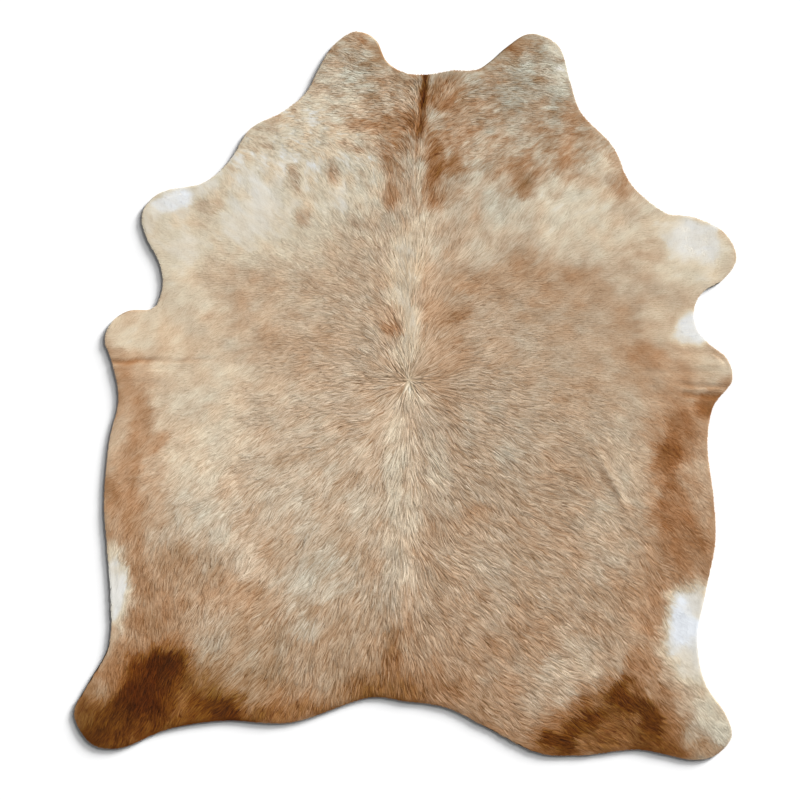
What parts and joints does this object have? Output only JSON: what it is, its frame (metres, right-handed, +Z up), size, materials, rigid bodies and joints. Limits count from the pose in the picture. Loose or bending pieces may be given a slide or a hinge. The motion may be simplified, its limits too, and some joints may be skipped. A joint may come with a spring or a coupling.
{
  "type": "cowhide",
  "caption": "Hair-on cowhide that lies flat as a floor rug, in one piece, with the trimmed outline of neck, legs, flanks and rump and a short tan, cream and brown coat.",
  "frame": {"origin": "on the floor, under the middle of the hide's outline", "axes": "+Z up from the flesh side to the hair side, +Y along the spine toward the neck, +X to the right as seen from above with the neck away"},
  "size_m": [2.0034, 2.2042, 0.0092],
  "materials": {
    "hide": "short lying hair in tan, cream and brown on tanned leather"
  },
  "bodies": {
    "root": {"cowhide": "hide"}
  },
  "joints": []
}
